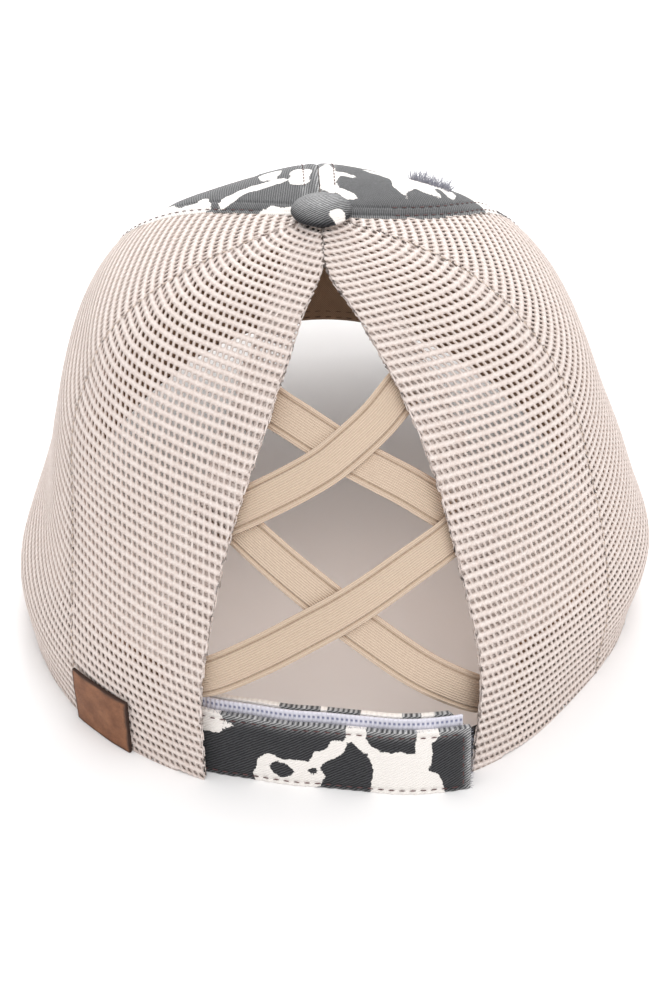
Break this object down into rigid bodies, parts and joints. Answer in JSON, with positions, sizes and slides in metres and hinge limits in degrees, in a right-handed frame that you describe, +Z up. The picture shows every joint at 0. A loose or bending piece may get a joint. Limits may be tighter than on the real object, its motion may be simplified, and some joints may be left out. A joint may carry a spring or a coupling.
{
  "type": "ponytail baseball cap",
  "caption": "Six-panel baseball cap with mesh sides, a curved brim and a tall rear opening crossed by elastics above a low closure strap.",
  "frame": {"origin": "middle of the bounding box in plan, at floor height, where the rim rests", "axes": "+Z up through the button; the brim points to -Y and the ponytail opening to +Y; +X is the wearer's left"},
  "size_m": [0.178, 0.2628, 0.1246],
  "materials": {
    "cow_twill": "washed twill, charcoal with white cow patches",
    "mesh_knit": "open knitted mesh, beige",
    "brim_twill": "washed twill, charcoal",
    "band_cloth": "brown cotton",
    "tape_white": "woven tape",
    "elastic_tan": "ribbed elastic",
    "tag_leather": "smooth leather"
  },
  "bodies": {
    "root": {"front_panel_left": "cow_twill", "front_panel_right": "cow_twill", "side_mesh_left": "mesh_knit", "side_mesh_right": "mesh_knit", "rear_mesh_left": "mesh_knit", "rear_mesh_right": "mesh_knit", "brim": "brim_twill", "button": "cow_twill", "sweatband": "band_cloth", "closure_strap_outer": "cow_twill", "closure_strap_inner": "cow_twill", "closure_tape": "tape_white", "elastic_upper_a": "elastic_tan", "elastic_upper_b": "elastic_tan", "elastic_lower_a": "elastic_tan", "elastic_lower_b": "elastic_tan", "leather_tag": "tag_leather"}
  },
  "joints": []
}
